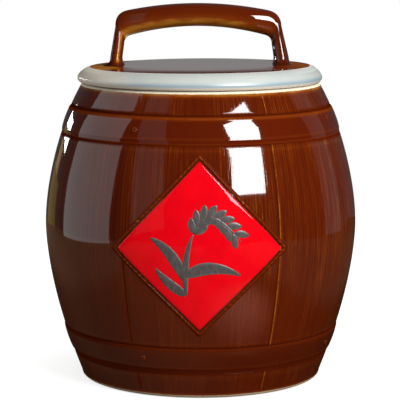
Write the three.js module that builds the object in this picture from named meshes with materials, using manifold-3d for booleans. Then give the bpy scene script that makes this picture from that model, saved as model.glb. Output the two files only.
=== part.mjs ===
// Glazed stoneware rice jar shaped like a hooped wooden barrel, with a lift-off lid and an arched handle.
// Millimetres, +Z up, front towards -Y. The origin is the centre of the foot ring's underside.
import * as THREE from "three";
import { mergeVertices } from "three/addons/utils/BufferGeometryUtils.js";
import Module from "manifold-3d";

const wasm = await Module();
wasm.setup();

// Barrel: outside of the wall without its hoops
const RIM_HEIGHT = 264;
const NECK_HEIGHT = 20;
const BELLY_HEIGHT = 138;
const BELLY_RADIUS = 139.8;
const FOOT_RADIUS = 106.7;
const SHOULDER_RADIUS = 116.2;
const RIM_RADIUS = 106;
// Powers of the distance from the belly by which the wall draws in
const LOWER_BOW = 1.68;
const UPPER_BOW = 1.79;

// Wall, floor, foot ring and mouth
const WALL = 9;
const FLOOR = 11;
const FLOOR_FILLET = 16;
const FOOT_RING_WIDTH = 15;
const FOOT_RECESS = 3;
const FOOT_ROUNDING = 4;
const MOUTH_RADIUS = 96;
const MOUTH_LAND = 9;
const RIM_ROUNDING = 2;

// Hoops, seated in shallow rebates round the barrel
const HOOP_WIDTH = 24;
const HOOP_PROUD = 1.3;
const HOOP_BEVEL = 5;
const HOOP_EDGE = 2;
const REBATE = 2;
const LOWER_HOOP_BASE = 23;

// Nail heads on the hoops, by angle from the front towards +X
const NAILS_PER_HOOP = 4;
const NAIL_RADIUS = 3.2;
const NAIL_HEIGHT = 1.7;
const NAIL_DIMPLE_RADIUS = 1;
const NAIL_DIMPLE = 0.5;
const NAIL_RISE = 13.5;
const UPPER_NAIL_ANGLE = -26.5;
const LOWER_NAIL_ANGLE = -24;

// Diamond panel on the belly: a square pad on its corner, a groove and a raised border
const PANEL_HEIGHT = 136;
const PANEL_HALF_DIAGONAL = 72;
const PANEL_PROUD = 0.8;
const PANEL_BEVEL = 1.4;
const GROOVE_WIDTH = 1.3;
const BORDER_WIDTH = 2.8;
const BORDER_PROUD = 0.9;

// Lid, from its seat on the rim upwards
const LID_HEIGHT = 13.8;
const LID_OVERHANG = 3.5;
const LID_ROLL = 11.1;
const LID_WIDEST = 4.5;
const LID_LIP = 4;
const LID_ROUND = 1.5;
const LID_PLATE = 10.5;
const SPIGOT_DEPTH = 13;
const SPIGOT_WALL = 8;

// Seal ring in the spigot's groove
const SEAL_LIP = 2.9;
const SEAL_HEIGHT = 4.2;
const SEAL_DEPTH = 2.7;
const SEAL_DROP = 2.6;
const LIP_THICKNESS = 0.9;

// Handle: outline seen from the front, and depth from front to back
const HANDLE_HEIGHT = 55.7;
const HANDLE_HALF_SPAN = 79.2;
const HANDLE_LEG = 12.9;
const HANDLE_BAR = 20.4;
const HANDLE_BOW = 7.9;
const HANDLE_LEAN = 5.6;
const HANDLE_CORNER = 9.4;
const HANDLE_INNER_LEAN = 1.6;
const HANDLE_INNER_CORNER = 6.5;
const HANDLE_DEPTH = 30;
const HANDLE_ROUND = 3.2;
const FOOT_FLARE = 4.8;
const FOOT_RISE = 8;

// Gap left between pieces that touch
const LUTE = 0.3;

// Glazes and their roughness
const BROWN_GLAZE = "#5a1e08";
const CELADON_GLAZE = "#c9d3cf";
const RED_ENAMEL = "#e4081c";
const SILICONE = "#e8e6df";
const GLOSS = 0.12;
const SATIN = 0.25;
const SOFT = 0.6;

// Fineness of the facets
const ROUND_STEPS = 48;
const NAIL_STEPS = 12;
const WALL_STEP = 16;
const HOOP_STEP = 8;
const SIDE_STEPS = 12;
const PANEL_RINGS = 8;
const ARC_STEPS = 4;
const LEG_STEPS = 2;
const BAR_STEPS = 6;
const HANDLE_SIDES = 16;

// Distance under which two vertices are one
const MERGE = 1e-3;

// Places worked out from the sizes
const SHOULDER_HEIGHT = RIM_HEIGHT - NECK_HEIGHT;
const UPPER_HOOP_BASE = SHOULDER_HEIGHT - HOOP_WIDTH;
const SPIGOT_RADIUS = MOUTH_RADIUS - LUTE - SEAL_LIP;
const LID_SEAT = RIM_HEIGHT + LUTE;
const LID_TOP = LID_SEAT + LID_HEIGHT;
const LID_RADIUS = RIM_RADIUS + LID_OVERHANG;
const LID_TOP_RADIUS = LID_RADIUS - LID_ROLL;
const SEAL_TOP = LID_SEAT - SEAL_DROP;
const SEAL_BASE = SEAL_TOP - SEAL_HEIGHT;
const GROOVE_HALF = PANEL_HALF_DIAGONAL + GROOVE_WIDTH * Math.SQRT2;
const BORDER_HALF = GROOVE_HALF + BORDER_WIDTH * Math.SQRT2;
const RECESS_HALF = BORDER_HALF + LUTE * Math.SQRT2;

// Radius of the barrel's outside at a height: two bowed stretches from the belly, then a straight neck
function barrelRadius(z) {
  if (z > SHOULDER_HEIGHT) {
    return THREE.MathUtils.mapLinear(z, SHOULDER_HEIGHT, RIM_HEIGHT, SHOULDER_RADIUS, RIM_RADIUS);
  }
  if (z > BELLY_HEIGHT) {
    const rise = (z - BELLY_HEIGHT) / (SHOULDER_HEIGHT - BELLY_HEIGHT);
    return BELLY_RADIUS - (BELLY_RADIUS - SHOULDER_RADIUS) * rise ** UPPER_BOW;
  }
  const fall = (BELLY_HEIGHT - z) / BELLY_HEIGHT;
  return BELLY_RADIUS - (BELLY_RADIUS - FOOT_RADIUS) * fall ** LOWER_BOW;
}

// Even steps between two heights, both ends included
function heights(from, to, step) {
  const count = Math.max(1, Math.round(Math.abs(to - from) / step));
  return Array.from({ length: count + 1 }, (_, i) => from + ((to - from) * i) / count);
}

// Profile points [radius, height] that follow the barrel at an offset
function wallPoints(from, to, offset, step = WALL_STEP) {
  return heights(from, to, step).map((z) => [barrelRadius(z) + offset, z]);
}

// Profile points on an arc of an ellipse, by angles in degrees from the outward direction
function arcPoints(centre, radii, from, to) {
  return Array.from({ length: ARC_STEPS + 1 }, (_, i) => {
    const angle = THREE.MathUtils.degToRad(from + ((to - from) * i) / ARC_STEPS);
    return [centre[0] + radii[0] * Math.cos(angle), centre[1] + radii[1] * Math.sin(angle)];
  });
}

// Solid of revolution about +Z from profile points [radius, height] in anticlockwise order
function turned(points, steps = ROUND_STEPS) {
  const profile = points.map(([radius, height]) => new THREE.Vector2(radius, height));
  return new THREE.LatheGeometry(profile, steps).rotateX(Math.PI / 2);
}

// Closed profile: repeats the first point at the end
function closed(points) {
  return [...points, points[0]];
}

// Boolean solid of a closed geometry, with its shared vertices merged
function toSolid(geometry) {
  const bare = geometry.clone();
  bare.deleteAttribute("normal");
  bare.deleteAttribute("uv");
  const merged = mergeVertices(bare, MERGE);
  const vertProperties = merged.attributes.position.array;
  const triVerts = Uint32Array.from(merged.index.array);
  return new wasm.Manifold(new wasm.Mesh({ numProp: 3, vertProperties, triVerts }));
}

// Geometry of a boolean solid
function fromSolid(solid) {
  const { vertProperties, triVerts } = solid.getMesh();
  const geometry = new THREE.BufferGeometry();
  geometry.setAttribute("position", new THREE.BufferAttribute(vertProperties, 3));
  geometry.setIndex(new THREE.BufferAttribute(triVerts, 1));
  geometry.computeVertexNormals();
  return geometry;
}

// Point on the belly, from the panel's centre: arc length across, height up, offset out of the wall
function onBelly(across, up, offset) {
  const z = PANEL_HEIGHT + up;
  const radius = barrelRadius(z) + offset;
  const angle = across / BELLY_RADIUS;
  return [radius * Math.sin(angle), -radius * Math.cos(angle), z];
}

// One loop round a diamond of a half diagonal, anticlockwise seen from outside
function diamondLoop(half, offset) {
  const corners = [[1, 0], [0, 1], [-1, 0], [0, -1]];
  return corners.flatMap(([x, y], side) => {
    const [nextX, nextY] = corners[(side + 1) % corners.length];
    return Array.from({ length: SIDE_STEPS }, (_, i) => {
      const share = i / SIDE_STEPS;
      const across = half * THREE.MathUtils.lerp(x, nextX, share);
      const up = half * THREE.MathUtils.lerp(y, nextY, share);
      return onBelly(across, up, offset);
    });
  });
}

// Solid whose skin joins rings of points in order. A ring of one point closes an end, and where the first
// ring is no such point the last ring joins the first.
function ringSolid(rings) {
  const index = [];
  let count = 0;
  const numbered = rings.map((ring) => ring.map(() => count++));
  const spans = rings[0].length === 1 ? rings.length - 1 : rings.length;
  for (let k = 0; k < spans; k += 1) {
    const near = numbered[k];
    const far = numbered[(k + 1) % rings.length];
    const sides = Math.max(near.length, far.length);
    for (let i = 0; i < sides; i += 1) {
      const next = (i + 1) % sides;
      if (far.length > 1) {
        index.push(near[i % near.length], far[i], far[next]);
      }
      if (near.length > 1) {
        index.push(near[i], far[next % far.length], near[next]);
      }
    }
  }
  const geometry = new THREE.BufferGeometry();
  geometry.setAttribute("position", new THREE.Float32BufferAttribute(rings.flat(2), 3));
  geometry.setIndex(index);
  geometry.computeVertexNormals();
  return geometry;
}

// Solid between diamond loops that follow a section [half diagonal, offset]
function diamondSolid(section) {
  const ring = ([half, offset]) => (half === 0 ? [onBelly(0, 0, offset)] : diamondLoop(half, offset));
  return ringSolid(section.map(ring));
}

// Section across a diamond slab, from its outer middle to its edge and back along its inner face
function slabSection(half, inner, outer, bevel) {
  const face = Array.from({ length: PANEL_RINGS }, (_, i) => ((half - bevel) * i) / (PANEL_RINGS - 1));
  const edge = bevel > 0 ? [[half, outer - bevel / 2]] : [];
  const back = Array.from({ length: PANEL_RINGS }, (_, i) => half - (half * i) / (PANEL_RINGS - 1));
  return [...face.map((h) => [h, outer]), ...edge, ...back.map((h) => [h, inner])];
}

// Barrel wall across a hoop's rebate: in, along and out again
function rebate(base) {
  return [[barrelRadius(base), base], ...wallPoints(base, base + HOOP_WIDTH, -REBATE, HOOP_STEP)];
}

// Pot with its foot ring, floor, wall, neck and mouth, cut for the diamond panel
function jarBody() {
  const lowerHoopTop = LOWER_HOOP_BASE + HOOP_WIDTH;
  const footOuter = barrelRadius(FOOT_ROUNDING);
  const footInner = footOuter - FOOT_ROUNDING - FOOT_RING_WIDTH;
  const footCentre = [footOuter - FOOT_ROUNDING, FOOT_ROUNDING];
  const rimCentre = [RIM_RADIUS - RIM_ROUNDING, RIM_HEIGHT - RIM_ROUNDING];
  const neckLean = THREE.MathUtils.radToDeg(Math.atan2(SHOULDER_RADIUS - RIM_RADIUS, NECK_HEIGHT));
  const landBase = RIM_HEIGHT - MOUTH_LAND;
  const floorRadius = barrelRadius(FLOOR + FLOOR_FILLET) - WALL;
  const fillet = [floorRadius - FLOOR_FILLET, FLOOR + FLOOR_FILLET];
  const outside = [
    [0, FOOT_RECESS],
    [footInner - FOOT_RECESS, FOOT_RECESS],
    [footInner, 0],
    ...arcPoints(footCentre, [FOOT_ROUNDING, FOOT_ROUNDING], -90, 0),
    ...wallPoints(FOOT_ROUNDING, LOWER_HOOP_BASE, 0).slice(1, -1),
    ...rebate(LOWER_HOOP_BASE),
    ...wallPoints(lowerHoopTop, UPPER_HOOP_BASE, 0).slice(0, -1),
    ...rebate(UPPER_HOOP_BASE),
    [barrelRadius(SHOULDER_HEIGHT), SHOULDER_HEIGHT],
    ...arcPoints(rimCentre, [RIM_ROUNDING, RIM_ROUNDING], neckLean, 90),
  ];
  const inside = [
    [MOUTH_RADIUS, RIM_HEIGHT],
    [MOUTH_RADIUS, landBase],
    ...wallPoints(landBase - MOUTH_LAND, FLOOR + FLOOR_FILLET, -WALL),
    ...arcPoints(fillet, [FLOOR_FILLET, FLOOR_FILLET], 0, -90).slice(1),
    [0, FLOOR],
  ];
  const pot = toSolid(turned([...outside, ...inside]));
  const cut = toSolid(diamondSolid(slabSection(RECESS_HALF, -REBATE, WALL, 0)));
  return fromSolid(pot.subtract(cut));
}

// Band in its rebate, with a wide bevel below and a narrow edge above
function hoop(base) {
  const low = base + LUTE;
  const high = base + HOOP_WIDTH - LUTE;
  const face = wallPoints(low + HOOP_BEVEL, high - HOOP_EDGE, HOOP_PROUD, HOOP_STEP);
  const back = wallPoints(high, low, LUTE - REBATE, HOOP_STEP);
  return turned(closed([[barrelRadius(low), low], ...face, [barrelRadius(high), high], ...back]));
}

// Domed nail head with a dimple, standing along +Z on its own base
function nailHead() {
  const crest = THREE.MathUtils.radToDeg(Math.acos(NAIL_DIMPLE_RADIUS / NAIL_RADIUS));
  const dome = arcPoints([0, 0], [NAIL_RADIUS, NAIL_HEIGHT], 0, crest);
  return turned([[0, 0], ...dome, [0, NAIL_HEIGHT - NAIL_DIMPLE]], NAIL_STEPS);
}

// Red pad, seated in the recess and slightly proud of the wall
function diamondPanel() {
  return diamondSolid(slabSection(PANEL_HALF_DIAGONAL, LUTE - REBATE, PANEL_PROUD, PANEL_BEVEL));
}

// Raised frame round the pad, with a ridge along its middle
function diamondBorder() {
  const middle = (GROOVE_HALF + BORDER_HALF) / 2;
  const floor = LUTE - REBATE;
  const ridge = [[GROOVE_HALF, 0], [middle, BORDER_PROUD], [BORDER_HALF, 0]];
  return diamondSolid([...ridge, [BORDER_HALF, floor], [GROOVE_HALF, floor]]);
}

// Rolled rim from its lip to the top's edge: an ellipse below the widest line, a flatter round above it
function rolledRim() {
  const widest = LID_SEAT + LID_WIDEST;
  const under = arcPoints([LID_RADIUS - LID_LIP, widest], [LID_LIP, LID_WIDEST], -90, 0);
  const over = Array.from({ length: 2 * ARC_STEPS }, (_, i) => {
    const angle = (Math.PI / 2) * ((i + 1) / (2 * ARC_STEPS));
    const out = Math.max(0, Math.cos(angle)) ** (2 / LID_ROUND);
    const up = Math.sin(angle) ** (2 / LID_ROUND);
    return [LID_TOP_RADIUS + (LID_RADIUS - LID_TOP_RADIUS) * out, widest + (LID_TOP - widest) * up];
  });
  return [...under, ...over];
}

// Lid with its plate, rolled rim, and spigot grooved for the seal ring
function lid() {
  const spigotInner = SPIGOT_RADIUS - SPIGOT_WALL;
  const spigotBase = LID_SEAT - SPIGOT_DEPTH;
  const plateUnder = LID_TOP - LID_PLATE;
  const grooveFloor = SPIGOT_RADIUS - SEAL_DEPTH - LUTE;
  return turned([
    [0, plateUnder],
    [spigotInner, plateUnder],
    [spigotInner, spigotBase],
    [SPIGOT_RADIUS, spigotBase],
    [SPIGOT_RADIUS, SEAL_BASE - LUTE],
    [grooveFloor, SEAL_BASE - LUTE],
    [grooveFloor, SEAL_TOP + LUTE],
    [SPIGOT_RADIUS, SEAL_TOP + LUTE],
    [SPIGOT_RADIUS, LID_SEAT],
    ...rolledRim(),
    [0, LID_TOP],
  ]);
}

// Ring with its root in the spigot's groove and a lip that reaches the mouth's land
function sealRing() {
  const root = SPIGOT_RADIUS - SEAL_DEPTH;
  const lip = MOUTH_RADIUS - LUTE;
  const middle = (SEAL_BASE + SEAL_TOP) / 2;
  return turned(closed([
    [root, SEAL_BASE],
    [SPIGOT_RADIUS, SEAL_BASE],
    [lip, middle - LIP_THICKNESS / 2],
    [lip, middle + LIP_THICKNESS / 2],
    [SPIGOT_RADIUS, SEAL_TOP],
    [root, SEAL_TOP],
  ]));
}

// Half of an arch seen from the front, from its foot to the middle of its bar
function archPoints({ span, flare, lean, height, corner }) {
  const top = span - lean;
  const bar = top - corner;
  const eave = height - HANDLE_BOW;
  const hip = eave - (corner * 2 * HANDLE_BOW) / bar;
  const at = (x, y) => new THREE.Vector2(x, y);
  const foot = new THREE.QuadraticBezierCurve(at(span + flare, 0), at(span, 0), at(span, FOOT_RISE));
  const leg = new THREE.LineCurve(at(span, FOOT_RISE), at(top, hip - corner));
  const bend = new THREE.QuadraticBezierCurve(at(top, hip - corner), at(top, hip), at(bar, eave));
  const bow = new THREE.QuadraticBezierCurve(at(bar, eave), at(bar / 2, height), at(0, height));
  return [
    ...foot.getPoints(ARC_STEPS),
    ...leg.getPoints(LEG_STEPS).slice(1),
    ...bend.getPoints(ARC_STEPS).slice(1),
    ...bow.getPoints(BAR_STEPS).slice(1),
  ];
}

// Rounded section of the handle between a point outside and one inside the arch
function handleSection(outer, inner, side) {
  const middle = outer.clone().add(inner).divideScalar(2);
  const half = outer.clone().sub(inner).divideScalar(2);
  const toFoot = Math.max(0, 1 - middle.y / FOOT_RISE);
  const depth = HANDLE_DEPTH / 2 + FOOT_FLARE * toFoot ** 2;
  return Array.from({ length: HANDLE_SIDES }, (_, i) => {
    const angle = (-2 * Math.PI * i) / HANDLE_SIDES;
    const out = Math.sign(Math.cos(angle)) * Math.abs(Math.cos(angle)) ** (2 / HANDLE_ROUND);
    const back = Math.sign(Math.sin(angle)) * Math.abs(Math.sin(angle)) ** (2 / HANDLE_ROUND);
    return [side * (middle.x + half.x * out), depth * back, middle.y + half.y * out];
  });
}

// Arched handle with leaning legs and flared feet, standing on the height 0
function lidHandle() {
  const outer = archPoints({
    span: HANDLE_HALF_SPAN,
    flare: FOOT_FLARE,
    lean: HANDLE_LEAN,
    height: HANDLE_HEIGHT,
    corner: HANDLE_CORNER,
  });
  const inner = archPoints({
    span: HANDLE_HALF_SPAN - HANDLE_LEG,
    flare: -FOOT_FLARE,
    lean: HANDLE_INNER_LEAN,
    height: HANDLE_HEIGHT - HANDLE_BAR,
    corner: HANDLE_INNER_CORNER,
  });
  const footMiddle = HANDLE_HALF_SPAN - HANDLE_LEG / 2;
  const right = outer.map((point, i) => handleSection(point, inner[i], 1));
  const left = outer.map((point, i) => handleSection(point, inner[i], -1));
  return ringSolid([[[footMiddle, 0, 0]], ...right, ...left.reverse().slice(1), [[-footMiddle, 0, 0]]]);
}

// Mesh with its own glaze
function piece(name, geometry, colour, roughness) {
  const material = new THREE.MeshStandardMaterial({ color: colour, roughness, metalness: 0 });
  const mesh = new THREE.Mesh(geometry, material);
  mesh.name = name;
  return mesh;
}

// Nail heads round a hoop, each along the normal of the band's face
function hoopNails(hoopName, base, firstAngle) {
  const z = base + NAIL_RISE;
  const slope = (barrelRadius(z + 1) - barrelRadius(z - 1)) / 2;
  return Array.from({ length: NAILS_PER_HOOP }, (_, i) => {
    const angle = THREE.MathUtils.degToRad(firstAngle + (360 * i) / NAILS_PER_HOOP);
    const normal = new THREE.Vector3(Math.sin(angle), -Math.cos(angle), -slope).normalize();
    const radius = barrelRadius(z) + HOOP_PROUD;
    const nail = piece(`${hoopName}_nail_${i + 1}`, nailHead(), BROWN_GLAZE, GLOSS);
    nail.position.set(radius * Math.sin(angle), -radius * Math.cos(angle), z).addScaledVector(normal, LUTE);
    nail.quaternion.setFromUnitVectors(new THREE.Vector3(0, 0, 1), normal);
    return nail;
  });
}

const jar = new THREE.Group();
jar.add(
  piece("jar_body", jarBody(), BROWN_GLAZE, GLOSS),
  piece("upper_hoop", hoop(UPPER_HOOP_BASE), BROWN_GLAZE, GLOSS),
  piece("lower_hoop", hoop(LOWER_HOOP_BASE), BROWN_GLAZE, GLOSS),
  ...hoopNails("upper_hoop", UPPER_HOOP_BASE, UPPER_NAIL_ANGLE),
  ...hoopNails("lower_hoop", LOWER_HOOP_BASE, LOWER_NAIL_ANGLE),
  piece("diamond_panel", diamondPanel(), RED_ENAMEL, SATIN),
  piece("diamond_border", diamondBorder(), BROWN_GLAZE, GLOSS),
);

const handle = piece("lid_handle", lidHandle(), BROWN_GLAZE, GLOSS);
handle.position.z = LID_TOP + LUTE;

const cover = new THREE.Group();
cover.add(
  piece("lid", lid(), CELADON_GLAZE, SATIN),
  piece("seal_ring", sealRing(), SILICONE, SOFT),
  handle,
);

const riceJar = new THREE.Group();
riceJar.add(jar, cover);

export default riceJar;
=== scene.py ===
"""Looks of a glazed stoneware rice jar: a barrel-shaped pot with moulded bands and a red pad, and its lid.

Shapes are worked out in millimetres, +Z up and the front towards -Y, and go into their meshes in metres.
"""
import math

import bpy
import numpy as np
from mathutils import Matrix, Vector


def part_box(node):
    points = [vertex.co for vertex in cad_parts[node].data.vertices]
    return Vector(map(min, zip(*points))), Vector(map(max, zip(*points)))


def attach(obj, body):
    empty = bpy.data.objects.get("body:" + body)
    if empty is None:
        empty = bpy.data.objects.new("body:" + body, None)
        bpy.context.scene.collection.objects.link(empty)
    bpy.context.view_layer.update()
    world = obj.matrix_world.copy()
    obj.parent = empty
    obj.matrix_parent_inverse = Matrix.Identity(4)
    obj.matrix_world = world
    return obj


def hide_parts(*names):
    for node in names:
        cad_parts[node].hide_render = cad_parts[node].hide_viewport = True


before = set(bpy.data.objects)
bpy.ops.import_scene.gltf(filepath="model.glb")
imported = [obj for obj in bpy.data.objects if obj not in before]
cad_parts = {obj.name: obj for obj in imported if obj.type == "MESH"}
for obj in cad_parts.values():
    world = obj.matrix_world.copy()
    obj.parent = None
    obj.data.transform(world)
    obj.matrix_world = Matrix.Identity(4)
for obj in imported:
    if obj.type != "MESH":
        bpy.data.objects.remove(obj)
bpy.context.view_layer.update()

MM = 0.001
ROOT2 = math.sqrt(2)


def built(node):
    """Lowest and highest corner of a built piece, in millimetres."""
    low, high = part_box(node)
    return np.array(low) / MM, np.array(high) / MM


# Sizes that the built pieces give
LID_LOW, LID_HIGH = built("lid")
SEAL_LOW, SEAL_HIGH = built("seal_ring")
GRIP_LOW, GRIP_HIGH = built("lid_handle")
PAD_LOW, PAD_HIGH = built("diamond_panel")
RIM_HEIGHT = built("jar_body")[1][2]
LID_TOP = LID_HIGH[2]
LID_RADIUS = LID_HIGH[0]
SPIGOT_BASE = LID_LOW[2]
SEAL_BASE = SEAL_LOW[2]
SEAL_TOP = SEAL_HIGH[2]
SEAL_REACH = SEAL_HIGH[0]
GRIP_BASE = GRIP_LOW[2]
GRIP_HEIGHT = GRIP_HIGH[2] - GRIP_BASE
PAD_HEIGHT = (PAD_LOW[2] + PAD_HIGH[2]) / 2

# Fineness of the meshes
ROUND = np.radians(np.arange(0, 360, 1.0))
CURVE_STEPS = 6
WALL_STEP = 3.0
END_REACH = 5.0
END_STEP = 0.6
LIP_STEP = 1.5
FOOT_STEP = 14.0
SEAL_STEP = 1.2
STAVE_STEP = 1.25
JOINT_STEPS = np.concatenate([np.linspace(-4, 4, 9), np.linspace(-1.8, 1.8, 13)])
JOINT_ZONE = 4.4

# Barrel outline
NECK_HEIGHT = 20.0
NECK_BULGE = 0.35
BELLY_HEIGHT = 138.0
BELLY_RADIUS = 139.8
FOOT_RADIUS = 106.7
SHOULDER_RADIUS = 116.2
RIM_RADIUS = 106.0
LOWER_BOW = 1.68
UPPER_BOW = 1.79
SHOULDER_HEIGHT = RIM_HEIGHT - NECK_HEIGHT

# Wall, floor, foot and mouth
WALL = 9.0
FLOOR = 11.0
FLOOR_FILLET = 16.0
FILLET_LEAN = 1.5
FOOT_RING = 15.0
FOOT_RECESS = 3.0
FOOT_ROUND = 4.0
EDGE_ROUND = 1.2
MOUTH_RADIUS = 96.0
MOUTH_LAND = 9.0
RIM_ROUND = 2.0
LIP_FALL = 4.0
POT_POLE = 6.0

# Staves: joints by angle from the front, in degrees, and the grooves along them, softer on the left
JOINT_ANGLES = (-152.0, -90.0, -28.2, 28.2, 90.0, 152.0)
JOINT_DEPTH = 0.22
JOINT_HALF = 0.5
JOINT_SLUMP = 0.05
JOINT_SLUMP_HALF = 3.0
JOINT_LEFT = 0.5
STAVE_FOOT = (4.0, 7.0)
STAVE_LIP = (RIM_HEIGHT - 6.0, RIM_HEIGHT - 4.0)
STAVE_EDGE = 0.4

# Bands round the barrel, each in a shallow rebate
BAND_WIDTH = 24.0
BAND_PROUD = 1.3
BAND_BEVEL = 5.5
BAND_EDGE = 3.2
BAND_CROWN = 0.32
BAND_CROWN_POWER = 2.2
BAND_SINK = 0.15
REBATE = 2.0
LUTE = 0.3
SEAM = 0.08
LOWER_BAND = 23.0
LOWER_BAND_TOP = LOWER_BAND + BAND_WIDTH
UPPER_BAND = SHOULDER_HEIGHT - BAND_WIDTH

# Hollows that the glaze leaves beside the bands: depth, distance from the band and half width
NECK_HOLLOW = 0.26
NECK_HOLLOW_PLACE = 0.5
NECK_HOLLOW_HALF = 1.1
BAND_HOLLOW = 0.1
BAND_HOLLOW_PLACE = 0.6
BAND_HOLLOW_HALF = 1.2

# Glaze on the pot: shares, and the heights, distances or angles over which they rise or fall
THIN_LINES = (
    (0.2, UPPER_BAND - 4.0, 1.4),
    (0.15, LOWER_BAND - 3.5, 2.0),
    (0.12, LOWER_BAND_TOP + 3.0, 1.5),
)
THIN_LIP = 0.9
THIN_LIP_RISE = (RIM_HEIGHT - 6.8, RIM_HEIGHT - 3.0)
THIN_FOOT = 0.5
THIN_FOOT_FALL = (3.0, 5.0)
# Painted shade: on the left, the amber beside the joints is held back to a faint line
JOINT_THIN_SHADED_LEFT = 0.2
JOINT_THIN_RIGHT = 0.8
JOINT_THIN_PLACE = 1.3
JOINT_THIN_HALF = 0.8
JOINT_POOL = 0.85
JOINT_DULL = 1.8
JOINT_DULL_HALF = 1.35
HOLLOW_POOL = 0.5
HOLLOW_DULL = 1.2
SEAM_DULL_FALL = (2.3, 3.1)
# Painted shade: the upper left of the wall, the side away from the window, is painted darker
PAINTED_SHADE_LEFT = 0.3
PAINTED_SHADE_LEFT_RISE = (100.0, 150.0)
PAINTED_SHADE_LEFT_ANGLES = (0.35, 0.55)
# Painted shade: the lowest part of the wall, where less light reaches, is painted darker
PAINTED_SHADE_LOW = 0.14
PAINTED_SHADE_LOW_FALL = (LOWER_BAND, LOWER_BAND + 40.0)
GRAIN_LOW = 0.55
GRAIN_LOW_FALL = (60.0, 130.0)
GRAIN_LEFT = 0.7
GRAIN_ANGLES = (-0.3, 0.4)
LIP_CLAY_RISE = (RIM_HEIGHT - 2.8, RIM_HEIGHT - 1.4)
MOUTH_CLAY_RISE = (RIM_HEIGHT - 6.0, RIM_HEIGHT - 3.0)
FOOT_CLAY_FALL = (1.8, 3.4)

# Glaze on the bands, by height above a band's lower edge
BAND_THIN_PLACE = BAND_WIDTH - 2.0
BAND_THIN_HALF = 1.4
BEVEL_THIN = 0.2
BEVEL_LINES = ((BAND_BEVEL, 0.9), (1.2, 0.8))
SEAM_POOL = 0.5
SEAM_POOL_FALL = (0.2, 0.8)
BAND_DULL_FALL = (1.2, 2.0)
BAND_DULL_RISE = (BAND_WIDTH - 3.4, BAND_WIDTH - 2.6)
BEVEL_DULL_FALL = (BAND_BEVEL - 1.0, BAND_BEVEL + 0.5)

# Nail heads, their glaze, and how far some are turned on in degrees and lifted
NAIL_RADIUS = 2.6
NAIL_HEIGHT = 1.1
NAIL_SINK = 0.1
NAIL_DIMPLE = 0.45
NAIL_DIMPLE_RADIUS = 1.1
NAIL_POOL_RADIUS = 0.8 * NAIL_DIMPLE_RADIUS
NAIL_POOL_FALL = (0.1, 0.5)
NAIL_THIN = 0.7
NAIL_THIN_RADIUS = 1.5 * NAIL_DIMPLE_RADIUS
NAIL_THIN_HALF = 0.7
NAIL_DULL = 0.8
NAIL_SHIFTS = {"upper_hoop_nail_1": (-0.6, -1.4), "upper_hoop_nail_2": (2.4, 3.5)}

# Diamond pad and its groove
PAD_HALF = 72.0
PAD_LEFT = 1.2
PAD_SAG = 2.15
PAD_PROUD = 1.2
PAD_ROUND = 1.0
PAD_EDGE = 0.15
PAD_CROWN = 0.36
PAD_CROWN_RUN = 1.3
PAD_CORNER = 2.2
PAD_CORNER_SHARE = 0.4
PAD_POLE = 2.0
PAD_RIM = 1.0
GROOVE = 1.3
BED = 0.06

# Frame round the pad, and the waves along it: share, times round and start
FRAME_WIDTH = 3.5
FRAME_CREST = 0.6
FRAME_FLAT = 0.1
FRAME_PROUD = 0.9
FRAME_SINK = 0.04
FRAME_NOTCH = 0.3
FRAME_NOTCHES = 84
FRAME_TWIST = 2.4
FRAME_STEPS = 180
FRAME_UNEVEN = ((0.9, 11, 0.0), (0.6, 29, 1.0))
FRAME_BOLD = ((0.3, 7, 2.0), (0.2, 17, 0.0))
FRAME_THIN = 0.25
FRAME_THIN_HUMP = 0.55
FRAME_POOL = 0.35
FRAME_DULL = 0.96
FRAME_INNER = PAD_HALF + GROOVE * ROOT2
FRAME_OUTER = FRAME_INNER + FRAME_WIDTH * ROOT2

# Rice ear painted on the pad in raised enamel: [across, up] of a stroke's start, middle and end, and width
STEM = ((-11.0, -40.0), (-14.0, -8.0), (-5.0, 12.0), 5.5)
EAR = ((-5.0, 12.0), (6.0, 42.0), (35.0, 6.0), 3.6)
LEAVES = (
    ((-12.0, -28.0), (-22.0, 0.0), (-41.0, 9.0), 9.5),
    ((-12.0, -24.0), (8.0, -10.0), (35.0, -23.0), 11.0),
    ((-11.0, -40.0), (-26.0, -32.0), (-37.0, -17.0), 8.5),
)
STROKE_RISE = 0.45
STROKE_ROUND = 0.7
STROKE_SINK = 0.25
STROKE_FULL = 2.0
STROKE_START = 0.12
STROKE_SWELL = 0.7
STROKE_POINT = 0.8
KERNEL_LENGTH = 13.0
KERNEL_WIDTH = 6.4
KERNEL_START = 0.1
KERNEL_POINT = 0.75
KERNEL_GAP = 1.2
KERNEL_LEAN = 34.0
KERNELS_PER_SIDE = 7

# Lid
LID_ROLL = 11.1
LID_WIDEST = 4.5
LID_LIP = 4.0
LID_BULGE = 1.5
LID_DOME = 1.3
LID_DOME_POWER = 2.2
LID_FLAT = 66.0
LID_CREST = 0.2
LID_LEFT = 0.75
LID_LEAN_RIGHT = 0.0066
LID_LEAN_FRONT = 0.003
LID_PLATE = 10.5
LID_POLE = 4.0
SPIGOT_RADIUS = 92.8
SPIGOT_WALL = 8.0
SPIGOT_ROUNDS = (0, 3.0, 1.5, 1.5, 0.4, 0.3, 0.3, 0.4, 0.8, 0)
SEAL_DEPTH = 2.7
SEAL_ROUNDS = (0.4, 0.5, 0.4, 0.4, 0.5, 0.4)
SEAL_LIP = 0.9
LID_SEAT = RIM_HEIGHT + LUTE
LID_TOP_RADIUS = LID_RADIUS - LID_ROLL

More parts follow.
